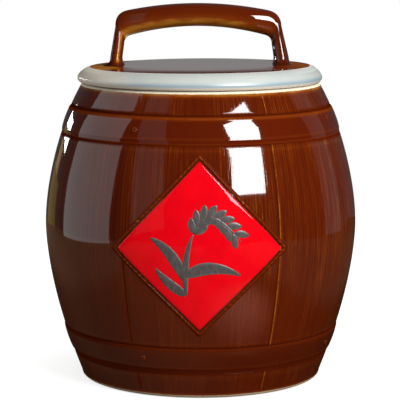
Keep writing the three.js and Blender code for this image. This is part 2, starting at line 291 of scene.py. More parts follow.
# Glaze on the lid: shares, and the heights, radii or distances over which they rise or fall
LID_LEFT_RISE = (LID_SEAT - 2.0, LID_SEAT + 1.0)
LID_TOP_LOW = LID_TOP - 3.0
PALE_RISE = (LID_TOP_RADIUS - 4.0, LID_TOP_RADIUS + 4.0)
CRESCENT_RADII = (70.0, 82.0)
CRESCENT_SIDES = (0.68, 0.92)
CRESCENT_RIGHT = 0.25
CRESCENT_RIGHT_RISE = (0.0, 60.0)
CRESCENT_DULL = 0.95
TOP_EDGE_THIN = 0.5
TOP_EDGE_THIN_RISE = (LID_TOP_RADIUS - 14.0, LID_TOP_RADIUS - 3.0)
TOP_EDGE_POOL = 0.8
TOP_EDGE_POOL_PLACE = LID_TOP_RADIUS - 1.6
TOP_EDGE_POOL_HALF = 1.3
RIM_INSIDE = LID_RADIUS - 8.0
BLUE_HALF = 1.8
CREAM_FALL = (LID_SEAT + 1.8, LID_SEAT + 3.4)
# Painted warm light: the lid is painted cream towards the left, as if lit from that side
PAINTED_LIGHT_LEFT_RISE = (45.0, 95.0)
# Painted shadow: the underside by the seat is painted near black, as the shadow in the gap over the pot's
# rim
SHADE_FALL = (LID_SEAT + 0.15, LID_SEAT + 0.8)
SHADE_INSIDE = SPIGOT_RADIUS + 2.0

# Handle: outline seen from the front, how far its arches stand to the left, and depth from front to back
GRIP_HALF_SPAN = 79.7
GRIP_LEG = 12.2
GRIP_LEFT = 0.7
GRIP_SKEW = 2.0
GRIP_INNER_LEFT = 2.35
GRIP_BAR = 20.4
GRIP_BOW = 6.2
GRIP_INNER_BOW = 7.9
GRIP_LEAN = 5.6
GRIP_CORNER = 12.0
GRIP_INNER_LEAN = 1.6
GRIP_INNER_CORNER = 6.5
GRIP_DEPTH = 33.0
GRIP_TAPER = 0.34
GRIP_SQUARE = 2.4
GRIP_FLARE = 4.8
GRIP_FLARE_OUT = 9.0
GRIP_RISE = 8.0
GRIP_SPREAD = 7.0
GRIP_SPREAD_TOP = 34.0
GRIP_SPREAD_OUT = 0.6
GRIP_SPREAD_RISE = (45.0, 70.0)

# Glaze on the handle: shares, and the places, heights or outward sides over which they rise
FEET_RISE = (0.3, 1.0)
FEET_POOL = 0.6
BAR_RISE = (0.55 * GRIP_HEIGHT, 0.65 * GRIP_HEIGHT)
RIGHT_RISE = (25.0, 65.0)
GRIP_THIN = 0.1
UNDER_BAR = ((0.9, -0.4, 0.6), (0.45, 0.7, 0.95))
UNDER_BAR_RIGHT = 0.45
# Amber streak down the inner side of the legs, most on the left: thin glaze and a painted reflection of the
# window
LEG_STREAK = 0.95
LEG_STREAK_RIGHT = 0.8
LEG_STREAK_PLACE = -0.3
LEG_STREAK_HALF = 0.38
TOP_POOL = 0.1
TOP_POOL_RISE = (0.3, 1.0)
LEG_POOL = 0.25
LEG_POOL_RIGHT = 0.15
LEFT_LEG_RISE = (GRIP_HALF_SPAN - 22.0, GRIP_HALF_SPAN - 12.0)
LEFT_LEG_DULL = 0.6
LEFT_LEG_DULL_OUT = 0.35
LEFT_LEG_OUT_RISE = (0.0, 0.5)
BREAK_DULL = 0.95
BREAK_HEIGHT = 26.0
BREAK_HALF = 4.0

# Colours of the glazes and the other finishes, linear
BROWN = (0.104, 0.0106, 0.0012)
RED_BROWN = (0.084, 0.0072, 0.0012)
AMBER = (0.25, 0.046, 0.004)
GOLD = (0.46, 0.18, 0.018)
# Near black of pooled glaze; the same colour is used for painted shade and the lid's painted shadow
POOLED_AND_SHADE = (0.04, 0.006, 0.003)
CELADON = (0.58, 0.61, 0.57)
CELADON_BLUE = (0.29, 0.39, 0.46)
CELADON_CREAM = (0.82, 0.75, 0.63)
BROWN_EDGE_WHITE = (0.8, 0.76, 0.72)
CLAY = (0.85, 0.76, 0.58)
CLAY_DARK = (0.36, 0.25, 0.15)
RED = (0.86, 0.002, 0.008)
RED_DEEP = (0.62, 0.0, 0.006)
GREY = (0.078, 0.07, 0.068)
GREY_PALE = (0.15, 0.14, 0.135)
SILICONE = (0.76, 0.75, 0.7)
WHITE = (1.0, 1.0, 1.0)
BLACK = (0.0, 0.0, 0.0)

# Noises in the finishes: scale, detail, and the two of its values between which it is drawn tight
BODY_CLOUD = (17.0, 4.0, 0.3, 0.7)
SPECKLE = (420.0, 2.0, 0.56, 0.8)
GRAIN_LINES = (980.0, 2.0, 0.45, 0.6)
GRAIN_FADE = (38.0, 2.0, 0.35, 0.65)
GRAIN_BREAKS = (620.0, 1.0, 0.38, 0.6)
FURROWS = (760.0, 1.0, 0.5, 0.7)
CELADON_CLOUD = (30.0, 4.0, 0.35, 0.75)
GRIT = (900.0, 3.0, 0.5, 0.72)
RED_CLOUD = (60.0, 3.0, 0.35, 0.75)
GREY_STREAKS = (420.0, 3.0, 0.4, 0.7)
SILICONE_CLOUD = (300.0, 3.0, 0.3, 0.7)

# Shares of what makes the brown glaze amber or dark, and where amber turns to gold and to bare clay
AMBER_THIN = 0.85
AMBER_GRAIN = 0.66
AMBER_SPECKLE = 0.06
GOLD_RISE = (0.5, 0.95)
CLAY_RISE = (0.98, 1.3)
DARK_POOL_AND_SHADE = 0.9
DARK_FURROW = 0.5
RED_SHARE = 0.6
TAN_FALL = (0.05, 0.2)
HALF_WAY = (0.44, 0.56)
WHITE_LINE_FALL = (0.74, 0.92)

# Gloss, and heights of the ripples in the glaze in metres
GLOSS = 0.045
GLAZE_INDEX = 1.7
WAVE_HEIGHT = 0.00002
RIDGE_HEIGHT = 0.000006

# Camera, fitted to the photograph's 400 by 400 frame
FRAME_PIXELS = 400
FOCAL_PIXELS = 1860.34
SENSOR = 36.0
CAMERA_PLACE = (0.0, -1.6654, 0.3996)
CAMERA_PITCH = 8.299
CAMERA_OFF_CENTRE = 0.6

# World: strength of what the glaze mirrors, by how far behind the jar it lies, and of the fill light
BACKDROP = 0.235
BACKDROP_RISE = (0.977, 0.998)
HALO = 0.06
HALO_RISE = (0.1, 0.9)
ROOM = 0.008
FILL = 0.1

# Floor: places in metres and linear colours
FLOOR_HALF = 0.95
FLOOR_DROP = -0.0004
FLOOR_PALE = (0.36, 0.35, 0.33)
FLOOR_DIM = (0.125, 0.095, 0.06)
# Painted light: the mirrored floor is painted lighter far to the left, as lit by the left box
FLOOR_LEFT_LIT = (0.26, 0.185, 0.12)
FLOOR_LEFT_LIT_END = (-0.38, -0.25)
FLOOR_DARK = (0.03, 0.02, 0.008)
FLOOR_DARK_PLACE = 0.14
FLOOR_DARK_REACH = (0.08, 0.16)
# Painted pool of light on the mirrored floor round one place
FLOOR_LIT = (0.95, 0.41, 0.3)
FLOOR_LIT_PLACE = (0.105, -0.235, 0.0)
FLOOR_LIT_REACH = (0.015, 0.115)
SHADOW = 0.3
SHADOW_REACH = 0.09
SHADOW_SAMPLES = 8

# Lights: radiance of the window and colours of the cards
WINDOW = 15.5
STRAW = (1.0, 0.72, 0.1)
EMBER = (1.0, 0.72, 0.3)
BLUSH = (1.0, 0.85, 0.8)


# Meshes

def skin(rings, loop=False):
    """Points and arrays of faces of a skin over rings of points, an array of rows by columns by 3.

    Each row joins the next and each column closes on itself. With loop the last row joins the first;
    without it the middle of each end row is a pole that closes the end.
    """
    rows, columns = rings.shape[:2]
    number = np.arange(rows * columns).reshape(rows, columns)
    beside = np.roll(number, -1, axis=1)
    above = np.roll(number, -1, axis=0)
    corner = np.roll(beside, -1, axis=0)
    quads = np.stack([number, beside, corner, above], axis=-1)
    points = rings.reshape(-1, 3)
    if loop:
        return points, [quads.reshape(-1, 4)]
    low = np.full(columns, rows * columns)
    first = np.stack([low, beside[0], number[0]], axis=-1)
    last = np.stack([low + 1, number[-1], beside[-1]], axis=-1)
    closed = np.vstack([points, rings[0].mean(axis=0), rings[-1].mean(axis=0)])
    return closed, [quads[:-1].reshape(-1, 4), first, last]


def with_poles(values, loop=False):
    """Values on rings of points as one list in skin's order, the poles taking the mean of their row."""
    flat = values.ravel()
    return flat if loop else np.append(flat, [values[0].mean(), values[-1].mean()])


def placed(name, data):
    """Object in the scene that holds some data."""
    made = bpy.data.objects.new(name, data)
    bpy.context.scene.collection.objects.link(made)
    return made


def mesh_piece(name, points, faces, body, nodes, slot, finish, **marks):
    """Piece of points and faces, riding on a body in place of built nodes, with marks on its points."""
    mesh = bpy.data.meshes.new(name)
    polygons = [polygon for group in faces for polygon in group.tolist()]
    mesh.from_pydata((points * MM).tolist(), [], polygons)
    mesh.polygons.foreach_set("use_smooth", np.ones(len(polygons), dtype=bool))
    for key, value in marks.items():
        attribute = mesh.attributes.new(key, "FLOAT", "POINT")
        attribute.data.foreach_set("value", np.asarray(value, dtype=np.float32))
    mesh.materials.append(finish)
    mesh.update()
    made = placed(name, mesh)
    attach(made, body)
    if nodes:
        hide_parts(*nodes)


def piece(name, rings, body, nodes, slot, finish, loop=False, **marks):
    """Piece made of a skin over rings; marks are values on the rings, or on each row or column of them."""
    points, faces = skin(rings, loop)
    spread = {key: np.broadcast_to(value, rings.shape[:2]) for key, value in marks.items()}
    values = {key: with_poles(value, loop) for key, value in spread.items()}
    mesh_piece(name, points, faces, body, nodes, slot, finish, **values)


def smooth(value, low, high):
    """Rise from 0 to 1 between two values, with no slope at either end."""
    share = np.clip((value - low) / (high - low), 0, 1)
    return share * share * (3 - 2 * share)


def fall(value, low, high):
    """Fall from 1 to 0 between two values, with no slope at either end."""
    return 1 - smooth(value, low, high)


def bell(value, half):
    """Peak of 1 at 0 that falls off as the exponential of minus the square."""
    return np.exp(-(value / half) ** 2)


def capped(value):
    """Value kept between 0 and 1."""
    return np.clip(value, 0, 1)


def quadratic(start, control, end, count):
    """Points on a quadratic curve: the squares and product of the two shares weigh its three points."""
    start, control, end = (np.asarray(point, dtype=float) for point in (start, control, end))
    share = np.linspace(0, 1, count + 1)[:, None]
    return (1 - share) ** 2 * start + 2 * share * (1 - share) * control + share**2 * end


def rounded(corners, reaches, step, closed=False):
    """Outline through corners [across, up], each replaced by a curve that starts a reach before it.

    A curve takes less than half of a side. Straight runs between the curves are cut into steps. An open
    outline keeps its two end points.
    """
    corners = np.asarray(corners, dtype=float)
    count = len(corners)
    most = 0.49
    parts = []
    for i, (corner, reach) in enumerate(zip(corners, reaches)):
        if not closed and i in (0, count - 1):
            parts.append(corner[None])
            continue
        before = corners[i - 1] - corner
        after = corners[(i + 1) % count] - corner
        start = corner + before * min(most, reach / np.linalg.norm(before))
        end = corner + after * min(most, reach / np.linalg.norm(after))
        parts.append(quadratic(start, corner, end, CURVE_STEPS))
    runs = []
    for part, following in zip(parts, parts[1:] + parts[:1]):
        runs.append(part)
        gap = following[0] - part[-1]
        pieces = int(np.linalg.norm(gap) // step) + 1
        if pieces > 1 and (closed or following is not parts[0]):
            runs.append(part[-1] + gap * (np.arange(1, pieces) / pieces)[:, None])
    return np.vstack(runs)


def turned(profile, angles):
    """Rings of a profile [radius, height] turned about the axis, by angles from the front towards +X."""
    radius = profile[:, :1]
    height = np.broadcast_to(profile[:, 1:], (len(profile), len(angles)))
    return np.stack([radius * np.sin(angles), -radius * np.cos(angles), height], axis=-1)


# Barrel

def barrel_radius(height):
    """Radius of the wall: the belly's less a power of the distance from it, then a slightly bowed neck."""
    rise = np.clip((height - BELLY_HEIGHT) / (SHOULDER_HEIGHT - BELLY_HEIGHT), 0, None)
    drop = np.clip((BELLY_HEIGHT - height) / BELLY_HEIGHT, 0, None)
    bowed = (BELLY_RADIUS - (BELLY_RADIUS - SHOULDER_RADIUS) * rise**UPPER_BOW
             - (BELLY_RADIUS - FOOT_RADIUS) * drop**LOWER_BOW)
    share = np.clip((height - SHOULDER_HEIGHT) / NECK_HEIGHT, 0, 1)
    cone = SHOULDER_RADIUS + (RIM_RADIUS - SHOULDER_RADIUS) * share
    neck = cone + NECK_BULGE * 4 * share * (1 - share)
    return np.where(height > SHOULDER_HEIGHT, neck, bowed)


def wall(heights, offset=0.0):
    """Profile along the barrel at some heights, at an offset from its outside."""
    return np.column_stack([barrel_radius(heights) + offset, heights])


def close_ends(low, high):
    """Heights between two, in fine steps near both ends."""
    start = np.arange(low, low + END_REACH, END_STEP)
    end = np.arange(high, high - END_REACH, -END_STEP)
    middle = np.arange(low + END_REACH, high - END_REACH, WALL_STEP)
    return np.unique(np.concatenate([start, middle, end]))


def hollow(height):
    """Depth of the hollows in the wall: a bell above the shoulder and one beside each other band edge."""
    above = height - SHOULDER_HEIGHT
    depth = NECK_HOLLOW * bell(above - NECK_HOLLOW_PLACE, NECK_HOLLOW_HALF) * (above >= 0)
    for past in (UPPER_BAND - height, LOWER_BAND - height, height - LOWER_BAND_TOP):
        depth = depth + BAND_HOLLOW * bell(past - BAND_HOLLOW_PLACE, BAND_HOLLOW_HALF) * (past >= 0)
    return depth


def rebate(base):
    """Profile of the seat for a band: in, along and out again."""
    top = base + BAND_WIDTH
    seat = wall(np.linspace(base, top, 4), -REBATE)
    return np.vstack([wall(np.array([base])), seat, wall(np.array([top]))])


def pot_outside():
    """Parts of the pot's profile from under its foot, up the outside and over the lip."""
    foot = float(barrel_radius(FOOT_ROUND))
    foot_inner = foot - FOOT_ROUND - FOOT_RING
    under = rounded([[POT_POLE, FOOT_RECESS], [foot_inner - FOOT_RECESS, FOOT_RECESS], [foot_inner, 0.0],
                     [foot - FOOT_ROUND, 0.0]], [0, EDGE_ROUND, EDGE_ROUND, 0], FOOT_STEP)
    heel = quadratic([foot - FOOT_ROUND, 0.0], [foot, 0.0], [foot, FOOT_ROUND], 8)
    lip_base = RIM_HEIGHT - LIP_FALL
    lip = rounded([[barrel_radius(lip_base), lip_base], [RIM_RADIUS, RIM_HEIGHT],
                   [MOUTH_RADIUS, RIM_HEIGHT], [MOUTH_RADIUS, RIM_HEIGHT - MOUTH_LAND]],
                  [0, RIM_ROUND, EDGE_ROUND, 0], LIP_STEP)
    return [under, heel[1:], wall(close_ends(FOOT_ROUND, LOWER_BAND))[1:-1], rebate(LOWER_BAND),
            wall(close_ends(LOWER_BAND_TOP, UPPER_BAND))[1:-1], rebate(UPPER_BAND),
            wall(np.linspace(SHOULDER_HEIGHT, lip_base, 24))[1:-1], lip]


def pot_inside():
    """Parts of the pot's profile from the mouth, over a shelf, down the wall and along the floor."""
    shelf_height = RIM_HEIGHT - 2 * MOUTH_LAND
    fillet_top = FLOOR + FLOOR_FILLET
    radius = float(barrel_radius(fillet_top)) - WALL
    land = np.array([MOUTH_RADIUS, RIM_HEIGHT - MOUTH_LAND])
    shelf = np.array([barrel_radius(shelf_height) - WALL, shelf_height])
    corner = [radius - FILLET_LEAN, FLOOR]
    fillet = quadratic([radius, fillet_top], corner, [radius - FLOOR_FILLET, FLOOR], 10)
    flat = np.linspace(radius - FLOOR_FILLET, POT_POLE, 6)[1:]
    return [quadratic(land, (land + shelf) / 2, shelf, 4)[1:],
            wall(np.linspace(shelf_height, fillet_top, 22), -WALL)[1:], fillet[1:],
            np.column_stack([flat, np.full(len(flat), FLOOR)])]


def stave_angles():
    """Angles round the pot: even steps, with close ones beside each joint instead."""
    zone = math.degrees(JOINT_ZONE / BELLY_RADIUS)
    even = np.arange(-180, 180, STAVE_STEP)
    joints = np.array(JOINT_ANGLES)
    clear = np.abs(even[:, None] - joints).min(axis=1) > zone
    close = (joints[:, None] + np.degrees(JOINT_STEPS / BELLY_RADIUS)).ravel()
    return np.radians(np.unique(np.round(np.concatenate([even[clear], close]), 6)))


def past_joint(angles):
    """Arc length past the nearest stave joint, measured at the belly."""
    past = angles[:, None] - np.radians(np.array(JOINT_ANGLES))
    nearest = np.abs(past).argmin(axis=1)
    return past[np.arange(len(angles)), nearest] * BELLY_RADIUS


def stave_share(height):
    """How far the staves show at a height: on the wall, and not in the rebates, on the foot or the lip."""
    share = smooth(height, *STAVE_FOOT) * fall(height, *STAVE_LIP)
    for base in (LOWER_BAND, UPPER_BAND):
        top = base + BAND_WIDTH
        seat = smooth(height, base - STAVE_EDGE, base) * fall(height, top, top + STAVE_EDGE)
        share = share * (1 - seat)
    return share


def thin_on_wall(height):
    """How thin the glaze is at a height: most under the lip, in lines beside the bands, and on the foot."""
    lines = sum(share * bell(height - place, half) for share, place, half in THIN_LINES)
    return lines + THIN_LIP * smooth(height, *THIN_LIP_RISE) + THIN_FOOT * fall(height, *THIN_FOOT_FALL)


def thin_by_joint(past, left):
    """How thin the glaze is by a joint: an amber line past the joints on the right, and on the left only a
    faint line on both sides, held back there as painted shade.
    """
    faint = JOINT_THIN_SHADED_LEFT * bell(np.abs(past) - JOINT_THIN_PLACE, JOINT_THIN_HALF)
    amber = JOINT_THIN_RIGHT * bell(past - JOINT_THIN_PLACE, JOINT_THIN_HALF)
    return np.where(left, faint, amber)


def painted_shade_on_wall(height, angles):
    """How dark the wall is painted at heights and angles: painted shade at the upper left, and painted
    shade low down all round.
    """
    high = smooth(height, *PAINTED_SHADE_LEFT_RISE)[:, None]
    low = PAINTED_SHADE_LOW * fall(height, *PAINTED_SHADE_LOW_FALL)[:, None]
    return high * PAINTED_SHADE_LEFT * smooth(-angles, *PAINTED_SHADE_LEFT_ANGLES) + low


def dull_on_wall(height, hollows):
    """How dull the glaze is at a height: in the hollows and along the seam above the shoulder."""
    above_seam = np.where(height < SHOULDER_HEIGHT, np.inf, height - SHOULDER_HEIGHT)
    return HOLLOW_DULL * hollows / BAND_HOLLOW + fall(above_seam, *SEAM_DULL_FALL)


def bare_share(height, out):
    """How bare the clay is at a height: on the lip, further down in the mouth, and under the foot."""
    lip = np.where(out > 0, smooth(height, *LIP_CLAY_RISE), smooth(height, *MOUTH_CLAY_RISE))
    return np.maximum(lip, fall(height, *FOOT_CLAY_FALL) * out)


def make_pot(finish):
    """Pot: its profile turned, with a groove along each stave joint, which is a narrow bell on a wide one.

    The joints on the left are softer, and the grain is fainter there and low down.
    """
    outside = pot_outside()
    profile = np.vstack(outside + pot_inside())
    height = profile[:, 1]
    out = (np.arange(len(profile)) < sum(map(len, outside))).astype(float)
    hollows = hollow(height) * out
    profile[:, 0] -= hollows
    angles = stave_angles()
    rings = turned(profile, angles)
    staves = (stave_share(height) * out)[:, None]
    past = past_joint(angles)[None]
    distance = np.abs(past)
    left = angles < 0
    bold = np.where(left, JOINT_LEFT, 1.0)
    line = bell(distance, JOINT_HALF)
    depth = bold * (JOINT_DEPTH * line + JOINT_SLUMP * bell(distance, JOINT_SLUMP_HALF))
    rings[..., :2] *= (1 - staves * depth / profile[:, :1])[..., None]
    outer = out[:, None]
    thin = outer * thin_on_wall(height)[:, None] + staves * thin_by_joint(past, left)
    pool = HOLLOW_POOL * hollows[:, None] / NECK_HOLLOW + staves * JOINT_POOL * bold * line
    dull = outer * dull_on_wall(height, hollows)[:, None]
    low = fall(height, *GRAIN_LOW_FALL)[:, None]
    grain = (1 - GRAIN_LOW * low) * (GRAIN_LEFT + (1 - GRAIN_LEFT) * smooth(angles, *GRAIN_ANGLES))
    # Besides glaze pooled in hollows and joints, the pool mark here carries painted shade at the upper left
    # and low down
    piece("glazed_pot", rings, "jar", ["jar_body"], "brown_glaze", finish, thin=capped(thin),
          pool=capped(pool + outer * painted_shade_on_wall(height, angles)), grain=staves * grain, pale=1 - outer,
          clay=bare_share(height, out)[:, None],
          dull=capped(dull + staves * JOINT_DULL * bell(distance, JOINT_DULL_HALF)))


def band_profile(base):
    """Closed profile of a band: up a soft bevel, over a crowned face, round the top edge, and its back.

    The face stands out by its height less a power of the distance from its middle; the bevel is a smooth
    rise and the top edge a quarter ellipse.
    """
    tall = BAND_WIDTH - 2 * SEAM
    up = np.concatenate([np.linspace(0, tall - BAND_EDGE, 52)[:-1],
                         tall - BAND_EDGE * (1 - np.sin(np.linspace(0, math.pi / 2, 12)))])
    across = 2 * (up - BAND_BEVEL) / (tall - BAND_BEVEL - BAND_EDGE) - 1
    face = BAND_PROUD + BAND_SINK - BAND_CROWN * np.minimum(np.abs(across), 1) ** BAND_CROWN_POWER
    past_edge = np.clip((up - tall + BAND_EDGE) / BAND_EDGE, 0, 1)
    offset = face * smooth(up, 0, BAND_BEVEL) * np.sqrt(1 - past_edge**2) - BAND_SINK
    heights = base + SEAM + up
    front = np.column_stack([barrel_radius(np.minimum(heights, SHOULDER_HEIGHT)) + offset, heights])
    back = wall(np.linspace(heights[-1], heights[0], 5), LUTE - REBATE)
    return np.vstack([front, back])


def make_band(name, base, node, finish, thin_edge, dull_bevel, thick):
    """Band: its closed profile turned.

    The glaze is thin along the top edge by a share, and faintly so on the bevel's edges. It is dull along
    both seams, and by a share on the bevel. It is darkened all over by the share told as thick, which on
    the foot band is painted shade low on the jar, and darker still in the seams, where the glaze pools.
    """
    profile = band_profile(base)
    up = profile[:, 1] - base
    lines = sum(BEVEL_THIN * bell(up - place, half) for place, half in BEVEL_LINES)
    thin = thin_edge * bell(up - BAND_THIN_PLACE, BAND_THIN_HALF) + lines
    # thick darkens the whole band; on the foot band this is painted shade
    pool = thick + SEAM_POOL * fall(np.minimum(up, BAND_WIDTH - up), *SEAM_POOL_FALL)
    seams = fall(up, *BAND_DULL_FALL) + smooth(up, *BAND_DULL_RISE)
    dull = capped(np.maximum(seams, dull_bevel * fall(up, *BEVEL_DULL_FALL)))
    piece(name, turned(profile, ROUND), "jar", [node], "brown_glaze", finish, loop=True,
          thin=thin[:, None], pool=pool[:, None], grain=0.0, dull=dull[:, None])


def make_nail(name, node, finish):
    """Nail head: a half ellipse with a bell-shaped dimple, turned about the normal of its band.

    It stands where the built one stands, or turned on round the jar and lifted from there.
    """
    centre = sum(built(node)) / 2
    turn_on, lift = NAIL_SHIFTS.get(node, (0.0, 0.0))
    angle = math.atan2(centre[0], -centre[1]) + math.radians(turn_on)
    base = centre[2] + lift
    slope = float(barrel_radius(base + 1) - barrel_radius(base - 1)) / 2
    level = np.array([math.sin(angle), -math.cos(angle), 0.0])
    out = level - np.array([0, 0, slope])
    out /= np.linalg.norm(out)
    side = np.array([math.cos(angle), math.sin(angle), 0.0])
    up = np.cross(out, side)
    place = level * (barrel_radius(base) + BAND_PROUD) + np.array([0, 0, base]) - NAIL_SINK * out
    dome = np.linspace(0, math.pi / 2, 15)[1:-1]
    radius = np.concatenate([[NAIL_RADIUS / 2, NAIL_RADIUS], NAIL_RADIUS * np.cos(dome)])
    rise = np.concatenate([[0, 0], NAIL_HEIGHT * np.sin(dome)])
    rise = rise - NAIL_DIMPLE * bell(radius, NAIL_DIMPLE_RADIUS) * (rise > NAIL_HEIGHT / 2)
    turn = np.radians(np.arange(0, 360, 12))
    ring = np.cos(turn)[:, None] * side + np.sin(turn)[:, None] * up
    rings = place + radius[:, None, None] * ring + rise[:, None, None] * out
    pool = capped(bell(radius, NAIL_POOL_RADIUS) + fall(rise, *NAIL_POOL_FALL))
    thin = NAIL_THIN * bell(radius - NAIL_THIN_RADIUS, NAIL_THIN_HALF)
    piece(name, rings, "jar", [node], "brown_glaze", finish,
          thin=thin[:, None], pool=pool[:, None], grain=0.0, dull=NAIL_DULL)


# Diamond

def on_belly(across, up, offset):
    """Points on the belly from the pad's centre: arc length across, height up and offset out of the wall.

    The pad lies a little to the left, and sags by the square of the distance across.
    """
    height = PAD_HEIGHT + up - PAD_SAG * (across / PAD_HALF) ** 2
    radius = barrel_radius(height) + offset
    angle = (across - PAD_LEFT) / BELLY_RADIUS
    return np.stack([radius * np.sin(angle), -radius * np.cos(angle), height], axis=-1)


def diamond_loops(halves, steps=61):
    """Loops round diamonds of these half diagonals as arrays across and up, with each corner a quadratic
    curve and each straight side cut into steps."""
    halves = np.asarray(halves, dtype=float)[:, None, None, None]
    turn = np.arange(5) * math.pi / 2
    corners = np.stack([np.cos(turn), np.sin(turn)], axis=-1)
    corner = corners[:4][None, :, None] * halves
    after = corners[1:][None, :, None] * halves
    before = np.roll(corners[:4], 1, axis=0)[None, :, None] * halves
    reach = np.minimum(PAD_CORNER_SHARE, PAD_CORNER / (halves * ROOT2))
    bend = np.linspace(0, 1, 9)[None, None, :, None]
    start = corner + (before - corner) * reach
    end = corner + (after - corner) * reach
    curve = (1 - bend) ** 2 * start + 2 * bend * (1 - bend) * corner + bend**2 * end
    run = np.linspace(0, 1, steps + 1)[1:-1][None, None, :, None]
    next_start = after + (corner - after) * reach
    straight = end + (next_start - end) * run
    loops = np.concatenate([curve, straight], axis=2).reshape(len(halves), -1, 2)
    return loops[..., 0], loops[..., 1]


def pad_face(half):
    """Offset of the pad's face at a half diagonal: its height and a slow crown away from the edge."""
    return PAD_PROUD + PAD_CROWN * (1 - np.exp(-(PAD_HALF - half) / ROOT2 / PAD_CROWN_RUN))


def make_pad(finish):
    """Red pad: diamond loops out along its back, over a rounded edge and in along its crowned face."""
    out = np.linspace(PAD_POLE, PAD_HALF, 12)
    back = np.column_stack([out, np.full(len(out), BED)])
    inner = PAD_HALF - PAD_ROUND * ROOT2
    edge = quadratic([PAD_HALF, BED + PAD_EDGE], [PAD_HALF, PAD_PROUD], [inner, pad_face(inner)], 10)
    halves = np.linspace(inner, PAD_POLE, 46)[1:]
    section = np.vstack([back, edge, np.column_stack([halves, pad_face(halves)])])
    across, up = diamond_loops(section[:, 0])
    rim = smooth(section[:, :1], inner - PAD_RIM, PAD_HALF)
    piece("red_pad", on_belly(across, up, section[:, 1:]), "jar", ["diamond_panel"], "red_enamel", finish,
          rim=rim)


def waves(turn, parts):
    """Sum of sine waves along a turn, each given by its share, times round and start."""
    return sum(share * np.sin(times * turn + start) for share, times, start in parts)


def make_frame(finish):
    """Frame round the pad: a ridge along diamond loops, gentle outside, steep inside, notched like a rope.

    A wave along its length, uneven and twisted across it, makes the notches. The glaze is thin on the humps
    between them, and thick in them and at the inner foot.
    """
    across = np.linspace(0, 1, 15)
    slope = smooth(across, 0, FRAME_CREST)
    ridge = np.column_stack([FRAME_OUTER + (FRAME_INNER - FRAME_OUTER) * across,
                             BED + FRAME_PROUD * slope * fall(across, FRAME_CREST + FRAME_FLAT, 1.0)])
    below = np.linspace(FRAME_INNER, FRAME_OUTER, 5)[1:-1]
    section = np.vstack([ridge, np.column_stack([below, np.full(len(below), BED - FRAME_SINK)])])
    loop_across, loop_up = diamond_loops(section[:, 0], FRAME_STEPS)
    sides = [np.diff(loop[0], append=loop[0, 0]) for loop in (loop_across, loop_up)]
    lengths = np.hypot(*sides)
    round_once = 2 * math.pi * np.cumsum(lengths) / lengths.sum()
    twist = FRAME_TWIST * (np.linspace(0, 1, len(section))[:, None] - 0.5)
    hump = 0.5 + 0.5 * np.cos(FRAME_NOTCHES * round_once + waves(round_once, FRAME_UNEVEN) + twist)
    bold = 0.5 + waves(round_once, FRAME_BOLD)
    top = capped(section[:, 1:] / FRAME_PROUD)
    notch = FRAME_NOTCH * top * (1 - hump) * bold
    thin = smooth(top, 0.2, 0.85) * (FRAME_THIN + FRAME_THIN_HUMP * smooth(hump, 0.2, 0.9) * bold)
    inside = np.append(slope, np.ones(len(below)))[:, None]
    pool = inside * fall(top, 0.05, 0.4) + FRAME_POOL * top * fall(hump, 0.1, 0.6) * bold
    piece("pad_frame", on_belly(loop_across, loop_up, section[:, 1:] - notch), "jar", ["diamond_border"],
          "brown_glaze", finish, loop=True, thin=thin, pool=capped(pool), grain=0.0, dull=FRAME_DULL)


def stroke_rings(path, widths):
    """Rings of a raised brush stroke, a flat half ellipse across the path as wide as told, and how near
    the edge each column lies."""
    tangent = np.gradient(path, axis=0)
    tangent /= np.linalg.norm(tangent, axis=1)[:, None]
    normal = np.column_stack([-tangent[:, 1], tangent[:, 0]])
    turn = np.linspace(0, 2 * math.pi, 17)[:-1]
    side = np.cos(turn)
    front = STROKE_RISE * np.abs(np.sin(turn)) ** STROKE_ROUND
    rise = np.where(np.sin(turn) > 0, front, STROKE_SINK * np.sin(turn))
    offset = path[:, None] + normal[:, None] * (side[None, :, None] * widths[:, None, None] / 2)
    half = np.abs(offset).sum(axis=-1)
    lift = np.minimum(1, widths / STROKE_FULL)[:, None]
    return on_belly(offset[..., 0], offset[..., 1], pad_face(half) + rise * lift), np.abs(side)


def brush(start, middle, end, width):
    """Path and widths of a leaf or stem: a quadratic curve, swelling fast and running out to a point."""
    path = quadratic(start, middle, end, 36)
    share = np.linspace(0, 1, len(path))
    swell = np.sin(math.pi * share**STROKE_SWELL) ** STROKE_POINT
    return path, width * (STROKE_START + (1 - STROKE_START) * swell)


def kernel_strokes():
    """Paths and widths of the kernels: drops on both sides of the arching ear, leaning away from it."""
    points = quadratic(*EAR[:3], KERNELS_PER_SIDE + 1)
    tangent = np.gradient(points, axis=0)
    heading = np.arctan2(tangent[:, 1], tangent[:, 0])
    share = np.linspace(0, 1, 15)
    widths = KERNEL_WIDTH * (KERNEL_START + (1 - KERNEL_START) * np.sin(math.pi * share) ** KERNEL_POINT)
    for side in (-1, 1):
        for point, angle in zip(points[:-1], heading):
            lean = angle + side * math.radians(KERNEL_LEAN)
            ahead = np.array([math.cos(lean), math.sin(lean)])
            yield point + ahead * (KERNEL_GAP + KERNEL_LENGTH * share[:, None]), widths


def make_ear(finish):
    """Rice ear: all its strokes as closed skins in one mesh."""
    strokes = [brush(*STEM), brush(*EAR)] + [brush(*leaf) for leaf in LEAVES] + list(kernel_strokes())
    points, faces, rims, count = [], [], [], 0
    for path, widths in strokes:
        rings, side = stroke_rings(path, widths)
        part, part_faces = skin(rings)
        points.append(part)
        faces += [group + count for group in part_faces]
        rims.append(with_poles(np.broadcast_to(side, rings.shape[:2])))
        count += len(part)
    mesh_piece("rice_ear", np.vstack(points), faces, "jar", [], "red_enamel", finish,
               rim=np.concatenate(rims))


# Lid

